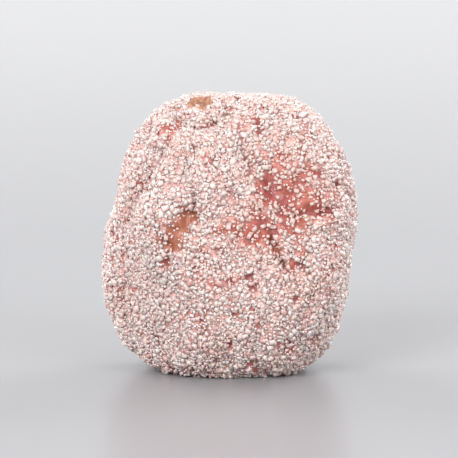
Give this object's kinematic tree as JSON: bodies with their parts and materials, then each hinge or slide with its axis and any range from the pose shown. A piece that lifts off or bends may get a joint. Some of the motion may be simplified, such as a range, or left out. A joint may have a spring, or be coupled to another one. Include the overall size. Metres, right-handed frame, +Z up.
{
  "type": "dried kumquat",
  "caption": "Whole dried kumquat, wrinkled and brick red under a crust of white sugar crystals, with its stem end at the top and a small flat spot to rest on.",
  "frame": {"origin": "middle of the base of the fruit's box, on the flat spot that it rests on", "axes": "+Z up, from the flat blossom end to the top; the stem end leans towards -Y, the front, and -X; +Y towards the back"},
  "size_m": [0.0236, 0.0204, 0.0254],
  "materials": {
    "sugared_skin": "dried fruit skin, satin, under a rough crust of sugar crystals",
    "sugar": "small clear to white crystals with glossy faces",
    "calyx": "dry, matt, tan brown"
  },
  "bodies": {
    "root": {"kumquat": "sugared_skin"}
  },
  "joints": []
}
